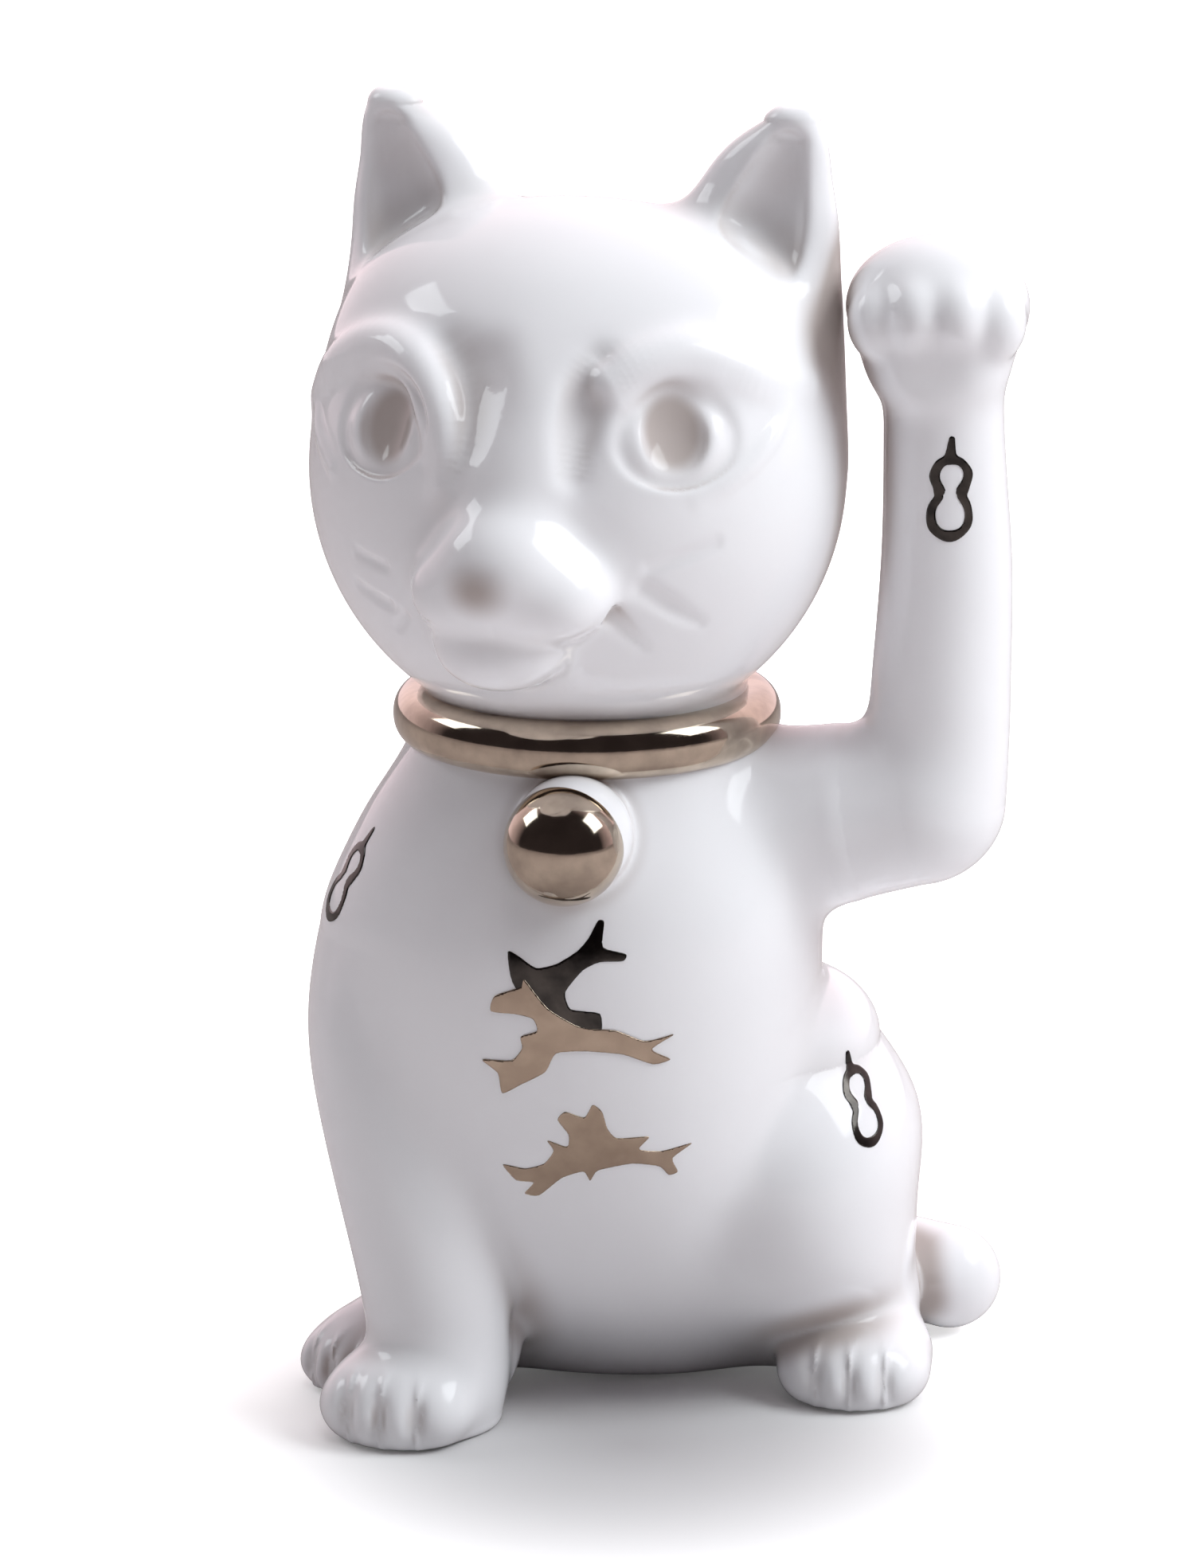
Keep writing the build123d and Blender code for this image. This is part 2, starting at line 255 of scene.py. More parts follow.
HAUNCH_LEFT = Profile([
    (-4, 30, 25, 15, 12),
    (5, 30.3, 21, 18.5, 17),
    (16, 30.5, 14.5, 21.5, 24.5),
    (30, 30.5, 10.5, 22.5, 28.5),
    (46, 30.2, 11, 22.2, 27),
    (56, 28.5, 12, 17.8, 21),
])
HAUNCH_RIGHT = Profile([
    (-4, -18, 21, 12, 18),
    (15, -19, 19, 15, 24),
    (32, -19, 18, 16, 25),
    (48, -18, 17, 12, 18),
])
TAIL = smooth_path([(4, 42, 9, 8.6), (24, 45, 9, 8.4), (42, 41, 9, 8.4), (56.0, 33, 9.2, 8.6)], 4)


TOE_GROOVE_R = (1.0, 4.6, 4.4)
TOE_SPACING = 0.46


def low_foot(p, centre, radii, turn, heel):
    """A foot flat on the table: a rounded block with a toe edge, running back to its heel."""
    across, deep, tall = radii
    x, y, z = turned(p, centre, turn)
    sole = ellipsoid((x, y, z), radii)
    toes = ellipsoid((x, y + deep * 0.42, z + 0.8), (across * 0.97, deep * 0.62, tall * 0.86))
    foot = blend(sole, toes, 4)
    for i in (-1, 0, 1):
        ahead = deep * (1.27 - 0.07 * abs(i))
        groove = ellipsoid((x - i * across * TOE_SPACING, y + ahead, z - 0.6), TOE_GROOVE_R)
        foot = carve(foot, groove, 5)
    return blend(foot, limb(p, heel), 6)


PAW_TOES = ((-9.4, 2.4, 1.8), (-3.3, 0.0, 0.4), (3.3, 0.0, 0.4), (9.4, 2.4, 1.8))


def raised_paw(p):
    """The beckoning paw: a broad fist of four toes over a hollow palm that faces ahead."""
    x, y, z = turned(p, (55.4, -4.0, PAW_TOP - 10.2), math.radians(4))
    fist = ellipsoid((x, y, z), (14.2, 12.0, 11.0))
    palm = ellipsoid((x, y + 2.0, z + 8.0), (11.0, 9.5, 9.0))
    fist = blend(fist, palm, 6)
    for across, back, drop in PAW_TOES:
        toe = ellipsoid((x - across, y + 8.8 - back, z - 0.2 + drop), (4.2, 4.8, 5.4))
        fist = blend(fist, toe, 3.4)
    hollow = ellipsoid((x, y + 15.0, z + 9.5), (8.5, 4.6, 6.0))
    return carve(fist, hollow, 4)


EAR = Profile([
    (-54, 22.5, 5, 16.5, 14),
    (-34, 24.2, 7, 16.4, 11.5),
    (-22.5, 26.2, 8, 14.1, 8.4),
    (-16.5, 27.4, 8, 12.4, 6.9),
    (-11, 28.6, 8, 10.3, 5.7),
    (-4.7, 31.2, 7.5, 6.8, 4.3),
    (-2.4, 32.6, 7.2, 4.6, 3.4),
])
EAR_DISH = Profile([
    (-36, 27.0, -5.6, 9.4, 8.5),
    (-24, 28.4, -2.2, 8.9, 7.4),
    (-17, 29.6, -0.2, 8.0, 6.2),
    (-11, 31.2, 1.4, 5.8, 4.6),
    (-5.6, 32.9, 2.4, 3.6, 3.0),
])


EAR_CAP = 2.4


def ears(q):
    """Both ears in the head's own axes, as (left, right) fields; heights run down from the tips."""
    out = []
    for side in (1, -1):
        e = (q[0] * side, q[1], q[2] + SKULL[2] - EAR_TIP_Z)
        out.append(carve(stack(e, EAR, cap=EAR_CAP), stack(e, EAR_DISH, cap=EAR_CAP), EAR_CAP))
    return out


def on_skull(u, w, lift=0.0):
    """The point of the skull at u to its left and w up, raised off it by lift, with the face ahead."""
    f = SKULL_R[1] * math.sqrt(1 - (u / SKULL_R[0]) ** 2 - (w / SKULL_R[2]) ** 2)
    n = np.array([u / SKULL_R[0] ** 2, f / SKULL_R[1] ** 2, w / SKULL_R[2] ** 2])
    return np.array([u, f, w]) + n / np.linalg.norm(n) * lift


def trail(rows, parts=5):
    """A smooth path over the skull through rows (u, w, lift, radius)."""
    return smooth_path([(*on_skull(u, w, lift), r) for u, w, lift, r in rows], parts)


def eye_axes(face, u, w):
    """Axes at a point of the skull: across, in towards the head, and up."""
    n = on_skull(u, w, 1) - on_skull(u, w)
    turn = math.atan2(-n[0], n[1])
    pitch = math.asin(n[2])
    return turned(face, on_skull(u, w), turn, pitch)


BROW_HOLLOW_RIGHT = trail([
    (-10.5, 23.5, 2.6, 3.2), (-7.0, 18.5, 2.2, 4.2), (-6.2, 12, 2.0, 4.2), (-7.2, 7, 2.0, 2.8),
])
BRIDGE_HOLLOW_RIGHT = trail([(-4.2, 21.5, 3.6, 4.8), (-1.6, 15, 3.2, 5.2), (-2.2, 11, 3.4, 4.4)])
BROW_HOLLOW_LEFT = trail([
    (14, 22.5, 2.0, 2.8), (12.3, 18, 1.4, 3.4), (11.2, 12, 1.2, 3.4), (11.0, 7, 1.6, 2.6),
])
BROW_RIGHT = trail([
    (-38, 12.5, -1.8, 2.0), (-33, 17.8, -0.8, 2.6), (-26.5, 21.6, -0.5, 3.2), (-20.0, 22.6, -0.5, 3.4),
    (-14.2, 20.2, -0.5, 3.2), (-10.2, 15.4, -0.5, 2.7), (-8.6, 9.5, -0.7, 2.2), (-8.8, 4.5, -1.2, 1.6),
])
LID_RIGHT = trail([
    (-33.0, 15.2, -0.9, 1.2), (-27.2, 18.8, -0.6, 1.5), (-21.4, 19.8, -0.6, 1.5), (-16.2, 17.8, -0.6, 1.5),
    (-12.6, 13.6, -0.6, 1.4), (-11.0, 8.5, -0.8, 1.2),
])
BROW_LEFT = trail([
    (15.8, 20.4, -1.2, 2.6), (19.8, 22.6, -0.8, 3.0), (25.0, 23.6, -0.6, 3.2), (30.0, 21.8, -0.6, 2.9),
    (34.0, 19.4, -0.7, 2.4), (38.4, 17.2, -1.4, 1.8),
])
LID_LEFT = trail([
    (17.6, 17.4, -1.3, 1.2), (20.5, 20.4, -0.9, 1.5), (25.0, 21.6, -0.7, 1.7), (29.6, 20.2, -0.7, 1.7),
    (33.4, 17.8, -0.8, 1.6), (36.4, 16.2, -1.0, 1.4), (38.8, 15.4, -1.6, 1.2),
])
CANTHUS_LEFT = trail([
    (37.6, 14.2, -1.1, 1.4), (36.8, 9.8, -0.8, 1.5), (33.8, 5.4, -0.9, 1.4), (29.0, 2.2, -1.8, 1.2),
])
CANTHUS_RIGHT = trail([(-36.8, 13.0, -1.2, 1.3), (-35.6, 8.0, -0.9, 1.4), (-31.0, 3.2, -1.1, 1.3)])
MOUTH = smooth_path([
    (-12.0, 41.0, -14.8, 0.3), (-7.8, 45.0, -16.8, 0.4), (-2.4, 47.0, -16.8, 0.4), (2.0, 47.6, -16.2, 0.4),
    (6.4, 46.6, -17.2, 0.4), (10.8, 44.6, -18.6, 0.4), (15.2, 40.6, -18.2, 0.4), (18.0, 36.0, -15.6, 0.3),
])


def hollows(p, face):
    """Presses the soft hollows each side of the nose bridge."""
    face = carve(face, limb(p, BROW_HOLLOW_RIGHT), 6)
    face = carve(face, limb(p, BRIDGE_HOLLOW_RIGHT), 7)
    return carve(face, limb(p, BROW_HOLLOW_LEFT), 5)


def muzzle(p, face):
    """Adds the chin, the muzzle with its whisker pads, the bridge and the nose."""
    chin = ellipsoid((p[0] + 0.6, p[1] - 34.0, p[2] + 20.6), (10.4, 10.2, 7.4))
    face = blend(face, chin, 6)
    wedge = ellipsoid((p[0] - 2.0, p[1] - 31.0, p[2] + 9.8), (14.0, 16.0, 10.4))
    pads = ellipsoid((np.abs(p[0] - 2.0) - 7.4, p[1] - 37.6, p[2] + 12.0), (8.0, 8.8, 6.6))
    face = blend(face, blend(wedge, pads, 6), 6)
    bridge = turned(p, (2.2, 34.4, 4.0), 0, math.radians(24), math.radians(3))
    face = blend(face, ellipsoid(bridge, (7.6, 7.0, 18.0)), 9)
    nose = ellipsoid((p[0] - 1.6, p[1] - 41.0, p[2] + 7.4), (9.0, 8.4, 8.0))
    return blend(face, nose, 7)


PUPILS = ((-20.2, 11.8), (25.4, 12.8))
PUPIL_R = (5.0, 2.4, 6.6)
EYES = (
    (-21.4, 11.2, 11.4, 1.2, PUPILS[0], LID_RIGHT, CANTHUS_RIGHT),
    (26.0, 11.6, 11.6, 1.6, PUPILS[1], LID_LEFT, CANTHUS_LEFT),
)


def eyes(p, face):
    """Sinks the sockets under the brows, and sets in each an eyeball with a dished pupil and a lid."""
    face = blend(blend(face, limb(p, BROW_RIGHT), 6), limb(p, BROW_LEFT), 6)
    for u, w, across, edge, spot, lid, canthus in EYES:
        eye = eye_axes(p, u, w)
        socket = (eye[0], eye[1] - 0.5 - 0.17 * eye[2], eye[2] - 1.2)
        face = carve(face, ellipsoid(socket, (across, 4.0, 9.0)), edge)
        face = blend(face, limb(p, lid), 2.0)
        face = blend(face, limb(p, canthus), 2.4)
        ball = ellipsoid((eye[0], eye[1] + 5.0, eye[2] + 0.4), (across - 1.3, 5.9, 7.8))
        face = blend(face, ball, 3.2)
        face = carve(face, ellipsoid(eye_axes(p, *spot), PUPIL_R), 3.4)
    return face


WHISKERS = [
    trail([(22.6, -7.8, 1.1, 1.0), (26.6, -6.4, 0.7, 1.0), (31.0, -4.8, 1.1, 1.0)], 8),
    trail([(21.6, -11.4, 1.5, 1.9), (24.6, -14.4, 1.0, 1.7), (28.0, -17.6, 0.8, 0.8)], 8),
    trail([(16.8, -15.0, 1.1, 1.5), (18.6, -18.2, 0.8, 1.4), (20.2, -21.2, 0.7, 0.7)], 8),
    trail([(-25.5, -9.4, 0.7, 0.8), (-20.2, -10.4, 0.6, 0.8)], 12),
    trail([(-26.5, -15.0, 0.8, 0.9), (-20.5, -17.0, 0.8, 1.2)], 12),
    trail([(-19.6, -21.0, 0.8, 0.9), (-17.6, -18.4, 0.8, 1.1)], 12),
]


CASTINGS = (
    "torso", "head", "left_ear", "right_ear", "raised_foreleg",
    "standing_foreleg", "left_hind_leg", "right_hind_leg", "tail",
)
FAR = 60.0
EAR_REACH = 66
ARM_FLOOR = 60
STANDING_HEEL = [(-21, -27, 9, 8), (-18.5, -14, 9, 9.5)]
LEFT_HEEL = [(43, 4, 5, 8), (42, 18, 9, 10)]
RIGHT_HEEL = [(-34, -4, 5, 7), (-28, 9, 8, 8)]


def head_casting(q, p):
    """The skull on its neck with the whole face worked into it; q is p in the head's own axes."""
    skull = ellipsoid(q, SKULL_R)
    crown = ellipsoid((np.abs(q[0]) - 18, q[1] - 3, q[2] - 20), (19, 23, 17))
    skull = blend(skull, crown, 14)
    neck = limb(p, [(0, 0, NECK_Z - 2, NECK_R), (0, 0, NECK_Z + NECK_OVERLAP, NECK_R)])
    skull = blend(skull, neck, 3)
    h = (q[0], -q[1], q[2])
    face = eyes(h, muzzle(h, hollows(h, skull)))
    for groove in WHISKERS:
        face = carve(face, limb(h, groove), 2.0)
    return carve(face, limb(h, MOUTH), 0.9)


def torso_casting(p):
    """The body, with the bell's porcelain seat on the chest and the vent in the base."""
    seat = (p[0] - BELL[0] - 0.8, p[1] - BELL[1] - 3.4, p[2] - BELL[2] - 0.8)
    torso = blend(stack(p, TORSO, 2.15), ellipsoid(seat, (BELL_R, BELL_R, BELL_R)), 2.5)
    return carve(torso, limb(p, [(0, 30, -2, VENT_R), (0, 30, 5, VENT_R)]), 0.6)


def castings(p):
    """Every casting's own field, before the glaze blends them; far castings are only known to be far."""
    out = dict.fromkeys(CASTINGS, np.full_like(p[0], FAR))
    lowest, highest = p[2].min(), p[2].max()
    q = turned(p, SKULL, HEAD_TURN)
    if highest > NECK_Z - NECK_OVERLAP:
        out["head"] = head_casting(q, p)
    if highest > EAR_TIP_Z - EAR_REACH:
        out["left_ear"], out["right_ear"] = ears(q)
    if highest > ARM_FLOOR:
        arm = blend(limb(p, UPPER_ARM), stack(p, FOREARM, cap=9), 8)
        out["raised_foreleg"] = blend(arm, raised_paw(p), 5)
    if lowest < NECK_Z + NECK_OVERLAP:
        out["torso"] = torso_casting(p)
        foot = low_foot(p, (-24.8, -27.2, 6.0), (12.6, 13.8, 8.4), math.radians(-10), STANDING_HEEL)
        out["standing_foreleg"] = blend(stack(p, STANDING, cap=12), foot, 5)
        foot = low_foot(p, (43.6, 4.4, 5.2), (12.4, 16.6, 8.0), math.radians(2), LEFT_HEEL)
        out["left_hind_leg"] = blend(stack(p, HAUNCH_LEFT, 2.2, 10), foot, 7)
        foot = low_foot(p, (-33.8, -4.0, 5.0), (9.6, 14.0, 7.0), math.radians(-26), RIGHT_HEEL)
        out["right_hind_leg"] = blend(stack(p, HAUNCH_RIGHT, cap=10), foot, 5)
        out["tail"] = limb(p, TAIL)
    return out


SOLE_EDGE = 1.6


def porcelain(p):
    """The whole glazed skin, cut flat at the table."""
    c = castings(p)
    head = blend(blend(c["head"], c["left_ear"], 8), c["right_ear"], 8)
    body = blend(c["torso"], c["standing_foreleg"], 9)
    body = blend(body, c["left_hind_leg"], 7)
    body = blend(body, c["right_hind_leg"], 6)
    body = blend(body, c["raised_foreleg"], 9)
    body = blend(body, c["tail"], 7)
    body = blend(body, head, 2.5)
    return meet(body, -p[2], SOLE_EDGE)


# ---------------------------------------------------------------- from field to mesh

POOL = ThreadPoolExecutor(4)
CHUNK = 40000


def evaluate(field, points):
    """A field at many points, in pieces that stay in the cache and each cover few heights."""
    order = np.argsort(points[:, 2], kind="stable")
    pieces = [points[order[i : i + CHUNK]] for i in range(0, len(points), CHUNK)]
    done = POOL.map(lambda q: field((q[:, 0], q[:, 1], q[:, 2])), pieces)
    out = np.empty(len(points), points.dtype)
    out[order] = np.concatenate(list(done))
    return out


TETRAHEDRON = np.array([(1, -1, -1), (-1, -1, 1), (-1, 1, -1), (1, 1, 1)], float)


def probe(field, points, reach=0.05):
    """The field and its gradient at points, from four samples about each."""
    value = np.zeros(len(points))
    gradient = np.zeros_like(points)
    for corner in TETRAHEDRON:
        d = evaluate(field, points + corner * reach)
        value += d / 4
        gradient += d[:, None] * corner / (4 * reach)
    return value, gradient


SHELTER_REACHES = (3.0, 6.0, 11.0)


def shelter(field, points, normals):
    """How far each point is shut in by the form around it, which sets the painted shade in the hollows: 0
    in the open, 1 in a deep hollow.
    """
    total = np.zeros(len(points))
    for reach in SHELTER_REACHES:
        total += np.clip(evaluate(field, points + normals * reach) / reach, 0, 1)
    return 1 - total / len(SHELTER_REACHES)


# Size of the painted shade in each pupil, and its strength on the nose.
PUPIL_SHADE_R = (5.4, 6.6)
NOSE_SHADE = 0.6
FACE_FRONT = 40


def pupil_and_nose_shade(points):
    """Painted shade in the pupils and over the nose: 1 in the middle of a pupil, 0 outside."""
    q = turned(points.T, SKULL, HEAD_TURN)
    h = (q[0], -q[1], q[2])
    nose = 1.1 - np.sqrt(((h[0] - 0.4) / 7.0) ** 2 + ((h[2] + 9.6) / 6.0) ** 2)
    depth = np.where(h[1] > FACE_FRONT, NOSE_SHADE * np.clip(nose, 0, 1), 0)
    for spot in PUPILS:
        e = eye_axes(h, *spot)
        pupil = 1.25 - np.sqrt((e[0] / PUPIL_SHADE_R[0]) ** 2 + (e[2] / PUPIL_SHADE_R[1]) ** 2)
        depth = np.maximum(depth, np.where(np.abs(e[1]) < 4, np.clip(pupil, 0, 1), 0))
    return depth


BLOCK = 8
HALF_DIAGONAL = 0.87
STEEPEST = 1.5
UNCROSSED = 50.0


def sampled(field, low, high, step):
    """The field on a grid, worked out only in the blocks that the surface may cross."""
    blocks = np.ceil((high - low) / step / BLOCK).astype(int)
    shape = blocks * BLOCK
    ijk = np.stack(np.meshgrid(*[np.arange(n) for n in blocks], indexing="ij"), -1).reshape(-1, 3)
    middle = low + (ijk + 0.5) * BLOCK * step
    rough = evaluate(field, middle)
    near = np.abs(rough) < BLOCK * step * HALF_DIAGONAL * STEEPEST + 1.0
    grid = np.where(rough > 0, UNCROSSED, -UNCROSSED).astype(np.float32).reshape(blocks)
    grid = grid.repeat(BLOCK, 0).repeat(BLOCK, 1).repeat(BLOCK, 2)
    cube = np.stack(np.meshgrid(*[np.arange(BLOCK)] * 3, indexing="ij"), -1).reshape(-1, 3)
    cells = (ijk[near][:, None, :] * BLOCK + cube[None]).reshape(-1, 3)
    values = evaluate(field, (low + cells * step).astype(np.float32))
    grid[cells[:, 0], cells[:, 1], cells[:, 2]] = values
    return grid, shape


CORNERS = [(i, j, k) for i in (0, 1) for j in (0, 1) for k in (0, 1)]
RING = ((-1, -1), (0, -1), (0, 0), (-1, 0))
SETTLES = 2
SETTLE_LIMIT = 0.5
FLATTEST = 0.05


def skin(field, low, high, step):
    """Surface nets: a vertex in each cell that the surface crosses, a quad across each crossed edge."""
    low, high = np.array(low, float), np.array(high, float)
    grid, shape = sampled(field, low, high, step)
    inside = grid < 0
    n = shape - 1
    count = np.zeros(n, np.int8)
    for i, j, k in CORNERS:
        count += inside[i : n[0] + i, j : n[1] + j, k : n[2] + k]
    cells = np.argwhere((count > 0) & (count < 8))
    index = np.full(n, -1, np.int32)
    index[cells[:, 0], cells[:, 1], cells[:, 2]] = np.arange(len(cells))
    total = np.zeros((len(cells), 3))
    crossings = np.zeros(len(cells))
    for a in CORNERS:
        for axis in range(3):
            if a[axis]:
                continue
            b = list(a)
            b[axis] = 1
            va = grid[cells[:, 0] + a[0], cells[:, 1] + a[1], cells[:, 2] + a[2]]
            vb = grid[cells[:, 0] + b[0], cells[:, 1] + b[1], cells[:, 2] + b[2]]
            crossed = (va < 0) != (vb < 0)
            t = np.where(crossed, va / np.where(crossed, va - vb, 1), 0)
            at = np.repeat(np.array([a], float), len(cells), 0)
            at[:, axis] += t
            total += at * crossed[:, None]
            crossings += crossed
    verts = low + (cells + total / crossings[:, None]) * step
    quads = []
    for axis in range(3):
        u, v = (axis + 1) % 3, (axis + 2) % 3
        here = [slice(1, m) for m in n]
        there = list(here)
        here[axis] = slice(0, n[axis])
        there[axis] = slice(1, n[axis] + 1)
        first = inside[tuple(here)]
        crossed = np.argwhere(first != inside[tuple(there)])
        offset = np.ones(3, int)
        offset[axis] = 0
        edge = crossed + offset
        ring = []
        for du, dv in RING:
            c = edge.copy()
            c[:, u] += du
            c[:, v] += dv
            ring.append(index[c[:, 0], c[:, 1], c[:, 2]])
        ring = np.stack(ring, 1)
        outward = first[crossed[:, 0], crossed[:, 1], crossed[:, 2]]
        ring[~outward] = ring[~outward][:, ::-1]
        quads.append(ring)
    quads = np.concatenate(quads)
    limit = SETTLE_LIMIT * step
    for _ in range(SETTLES):
        d, g = probe(field, verts)
        move = (d / np.maximum((g * g).sum(1), FLATTEST))[:, None] * g
        verts -= np.clip(move, -limit, limit)
    _, g = probe(field, verts)
    normals = g / np.maximum(np.linalg.norm(g, axis=1), 1e-9)[:, None]
    return verts, quads, normals


def make_piece(name, verts, quads, normals, material, node, painted_shade=None):
    """A mesh object from a skin, riding on the one body and standing for its CAD node."""
    used, inverse = np.unique(quads, return_inverse=True)
    verts, normals = verts[used] * MM, normals[used]
    quads = inverse.reshape(quads.shape)
    mesh = bpy.data.meshes.new(name)
    mesh.vertices.add(len(verts))
    mesh.vertices.foreach_set("co", verts.astype(np.float32).ravel())
    mesh.loops.add(quads.size)
    mesh.loops.foreach_set("vertex_index", quads.astype(np.int32).ravel())
    mesh.polygons.add(len(quads))
    mesh.polygons.foreach_set("loop_start", np.arange(0, quads.size, 4, dtype=np.int32))
    mesh.update(calc_edges=True)
    mesh.validate()
    mesh.shade_smooth()
    mesh.normals_split_custom_set_from_vertices([tuple(n) for n in normals])
    # Painted shade: the shade amount is kept on each vertex for the porcelain colour.
    if painted_shade is not None:
        depth = mesh.attributes.new("painted_shade", "FLOAT", "POINT")
        depth.data.foreach_set("value", painted_shade[used].astype(np.float32))
    mesh.materials.append(material)
    piece = bpy.data.objects.new(name, mesh)
    bpy.context.scene.collection.objects.link(piece)
    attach(piece, "root")
    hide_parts(node)
    return piece


# ---------------------------------------------------------------- materials


def new_material(name):
    """An empty node material, as (material, nodes, links, shader)."""
    material = bpy.data.materials.new(name)
    material.use_nodes = True
    nodes = material.node_tree.nodes
    return material, nodes, material.node_tree.links, nodes["Principled BSDF"]


def noise(nodes, links, scale, detail=2.0):
    """Noise fixed to the object, with so many features to the metre."""
    place = nodes.new("ShaderNodeTexCoord")
    texture = nodes.new("ShaderNodeTexNoise")
    texture.inputs["Scale"].default_value = scale
    texture.inputs["Detail"].default_value = detail
    links.new(place.outputs["Object"], texture.inputs["Vector"])
    return texture.outputs["Fac"]


def ramp(nodes, links, source, low, high, start=0.0, end=1.0):
    """A colour that runs from low at start to high at end."""
    node = nodes.new("ShaderNodeValToRGB")
    node.color_ramp.elements[0].position = start
    node.color_ramp.elements[0].color = (*low, 1)
    node.color_ramp.elements[1].position = end
    node.color_ramp.elements[1].color = (*high, 1)
    links.new(source, node.inputs["Fac"])
    return node.outputs["Color"]


def spread(nodes, links, source, low, high, start=0.0, end=1.0, smooth=False):
    """A value that runs from low at start to high at end."""
    node = nodes.new("ShaderNodeMapRange")
    if smooth:
        node.interpolation_type = "SMOOTHSTEP"
    for socket, value in (("From Min", start), ("From Max", end), ("To Min", low), ("To Max", high)):
        node.inputs[socket].default_value = value
    links.new(source, node.inputs["Value"])
    return node.outputs["Result"]


MIX_SOCKETS = {"FLOAT": (2, 3, 0), "RGBA": (6, 7, 2)}


def mixed(nodes, links, kind, factor, a, b):
    """Two numbers or colours mixed by a factor from a to b, where each is a socket or a constant."""
    node = nodes.new("ShaderNodeMix")
    node.data_type = kind
    first, second, result = MIX_SOCKETS[kind]
    links.new(factor, node.inputs[0])
    for index, value in ((first, a), (second, b)):
        if isinstance(value, bpy.types.NodeSocket):
            links.new(value, node.inputs[index])
        else:
            node.inputs[index].default_value = value
    return node.outputs[result]


def maths(nodes, links, operation, a, b):
    """Two sockets put through one operation."""
    node = nodes.new("ShaderNodeMath")
    node.operation = operation
    links.new(a, node.inputs[0])
    links.new(b, node.inputs[1])
    return node.outputs["Value"]


def uneven(nodes, links, shader, height, strength, distance):
    """Bump on a shader from a height."""
    bump = nodes.new("ShaderNodeBump")
    bump.inputs["Strength"].default_value = strength
    bump.inputs["Distance"].default_value = distance
    links.new(height, bump.inputs["Height"])
    links.new(bump.outputs["Normal"], shader.inputs["Normal"])


PORCELAIN_IOR = 1.52
# Colour of the painted shade, and the range of shade amounts over which it comes in.
PAINTED_SHADE_TINT = (0.40, 0.33, 0.30, 1)
PAINTED_SHADE_RANGE = {"start": 0.08, "end": 0.62, "high": 0.8}


def porcelain_material():
    """White glazed porcelain: painted shade turns it warm and grey in the hollows, in the pupils and on
    the nose, and the glaze lies faintly uneven.
    """
    material, nodes, links, shader = new_material("porcelain_glaze")
    body = ramp(nodes, links, noise(nodes, links, 35, 3), (0.845, 0.835, 0.86), (0.885, 0.88, 0.90))
    # Painted shade: each vertex's shade amount mixes the porcelain towards the shade colour.
    depth = nodes.new("ShaderNodeAttribute")
    depth.attribute_name = "painted_shade"
    painted_shade_mix = spread(nodes, links, depth.outputs["Fac"], 0.0, smooth=True, **PAINTED_SHADE_RANGE)
    links.new(mixed(nodes, links, "RGBA", painted_shade_mix, body, PAINTED_SHADE_TINT), shader.inputs["Base Color"])
    links.new(spread(nodes, links, noise(nodes, links, 120), 0.05, 0.1), shader.inputs["Roughness"])
    shader.inputs["IOR"].default_value = PORCELAIN_IOR
    uneven(nodes, links, shader, noise(nodes, links, 160, 1), 0.05, 0.0004)
    return material


def lustre_material(name, low, high, roughness):
    """Fired metal lustre, brushed on by hand: streaky in tone and gloss, and bright as a mirror."""
    material, nodes, links, shader = new_material(name)
    tone = noise(nodes, links, 220, 4)
    gloss = spread(nodes, links, noise(nodes, links, 500, 3), roughness * 0.6, roughness * 1.5)
    links.new(ramp(nodes, links, tone, low, high, 0.35, 0.65), shader.inputs["Base Color"])
    links.new(gloss, shader.inputs["Roughness"])
    shader.inputs["Metallic"].default_value = 1.0
    uneven(nodes, links, shader, noise(nodes, links, 300, 2), 0.08, 0.0003)
    return material


# ---------------------------------------------------------------- build the porcelain

STEP = 0.55
SKIN_PAD = 3
glaze = porcelain_material()
verts, quads, normals = skin(
    porcelain, np.array(cad_low) / MM - SKIN_PAD, np.array(cad_high) / MM + SKIN_PAD, STEP,
)
# Painted shade: the porcelain is darker and warmer in hollows, in the pupils and on the nose.
painted_shade = np.maximum(0.8 * shelter(porcelain, verts, normals), pupil_and_nose_shade(verts))
centre = verts[quads].mean(1)
fields = castings((centre[:, 0], centre[:, 1], centre[:, 2]))
owner = np.argmin(np.stack([fields[name] for name in CASTINGS]), 0)
for i, name in enumerate(CASTINGS):
    make_piece(name + "_porcelain", verts, quads[owner == i], normals, glaze, name, painted_shade)

# ---------------------------------------------------------------- collar and bell


COLLAR_HALF = 4.4
COLLAR_SQUARE = 2.2


def collar_field(p):
    """A band with a full round back, seated on the neck."""
    reach = np.sqrt(p[0] ** 2 + p[1] ** 2)
    a = (reach - (COLLAR_R - COLLAR_HALF)) / COLLAR_HALF
    b = (p[2] - COLLAR_MID) / (COLLAR_H / 2)
    k = (np.abs(a) ** COLLAR_SQUARE + np.abs(b) ** COLLAR_SQUARE) ** (1 / COLLAR_SQUARE)
    return (k - 1) * 4.2


def bell_field(p):
    """The bell: a closed ball."""
    return ellipsoid((p[0] - BELL[0], p[1] - BELL[1], p[2] - BELL[2]), (BELL_R, BELL_R, BELL_R))


METAL_STEP = 0.5
METAL_PAD = 1.5
BELL_DEPTH = (0, 9, 0)
bright = lustre_material("bright_lustre", (0.50, 0.42, 0.34), (0.66, 0.56, 0.45), 0.09)
v, q, n = skin(collar_field, collar_low - METAL_PAD, collar_high + METAL_PAD, METAL_STEP)
make_piece("collar_band", v, q, n, bright, "collar")
v, q, n = skin(bell_field, bell_low - METAL_PAD, bell_high + METAL_PAD + BELL_DEPTH, METAL_STEP)
make_piece("bell_ball", v, q, n, bright, "bell")

